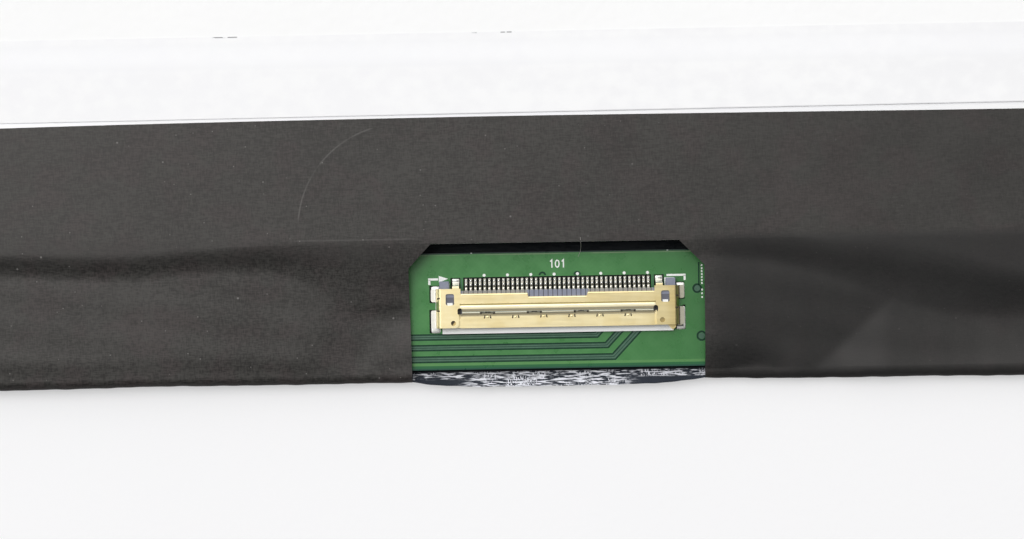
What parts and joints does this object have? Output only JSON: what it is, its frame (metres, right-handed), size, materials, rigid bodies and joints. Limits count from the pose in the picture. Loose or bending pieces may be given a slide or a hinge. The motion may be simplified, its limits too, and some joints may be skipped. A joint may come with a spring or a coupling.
{
  "type": "laptop screen panel",
  "caption": "Slim flat laptop display panel lying face down, with side screw ears, white rear, black board tape and a window in it for the gold display connector",
  "frame": {"origin": "under the middle of the outline, on the surface that the front polariser lies on", "axes": "+X to the right and +Y up as seen from behind, along the long and the short side; +Z towards the rear"},
  "size_m": [0.3594, 0.2238, 0.0034],
  "materials": {
    "polariser": "fine anti-glare",
    "cell_glass": "polished",
    "shading_film": "matt black film",
    "optical_film": "satin film",
    "guide_acrylic": "polished",
    "reflector_white": "matt white film",
    "white_strip": "mottled white film",
    "frame_plastic": "moulded",
    "bracket_steel": "plated",
    "plate_metal": "rolled",
    "flex_film": "amber film",
    "led_resin": "moulded with yellow phosphor",
    "board_green": "solder mask",
    "housing_resin": "moulded",
    "contact_plating": "plated",
    "shell_gold": "gold plated",
    "black_tape": "matt black film",
    "navy_film": "scuffed film",
    "chip_resin": "moulded",
    "driver_silicon": "ground silicon",
    "inductor_ferrite": "pressed ferrite",
    "capacitor_ceramic": "fired",
    "resistor_ceramic": "fired",
    "socket_resin": "moulded"
  },
  "bodies": {
    "root": {"front_polariser": "polariser", "rear_polariser": "polariser", "colour_filter_glass": "cell_glass", "array_glass": "cell_glass", "shading_tape": "shading_film", "diffuser_film_front": "optical_film", "prism_film_front": "optical_film", "prism_film_rear": "optical_film", "diffuser_film_rear": "optical_film", "light_guide": "guide_acrylic", "reflector_sheet": "reflector_white", "rear_fixing_strip": "white_strip", "moulded_frame": "frame_plastic", "left_bracket": "bracket_steel", "right_bracket": "bracket_steel", "led_back_plate": "plate_metal", "led_flex": "flex_film", "source_film_1": "flex_film", "source_film_2": "flex_film", "source_film_3": "flex_film", "source_film_4": "flex_film", "led_packages": "led_resin", "circuit_board": "board_green", "connector_housing": "housing_resin", "connector_contacts": "contact_plating", "connector_shell": "shell_gold", "rear_cover_tape": "black_tape", "front_cover_film": "navy_film", "timing_controller_chip": "chip_resin", "memory_chip": "chip_resin", "power_chip": "chip_resin", "led_driver_chip": "chip_resin", "driver_chip_1": "driver_silicon", "driver_chip_2": "driver_silicon", "driver_chip_3": "driver_silicon", "driver_chip_4": "driver_silicon", "power_inductors": "inductor_ferrite", "ceramic_capacitors": "capacitor_ceramic", "chip_resistors": "resistor_ceramic", "backlight_connector": "socket_resin"}
  },
  "joints": []
}
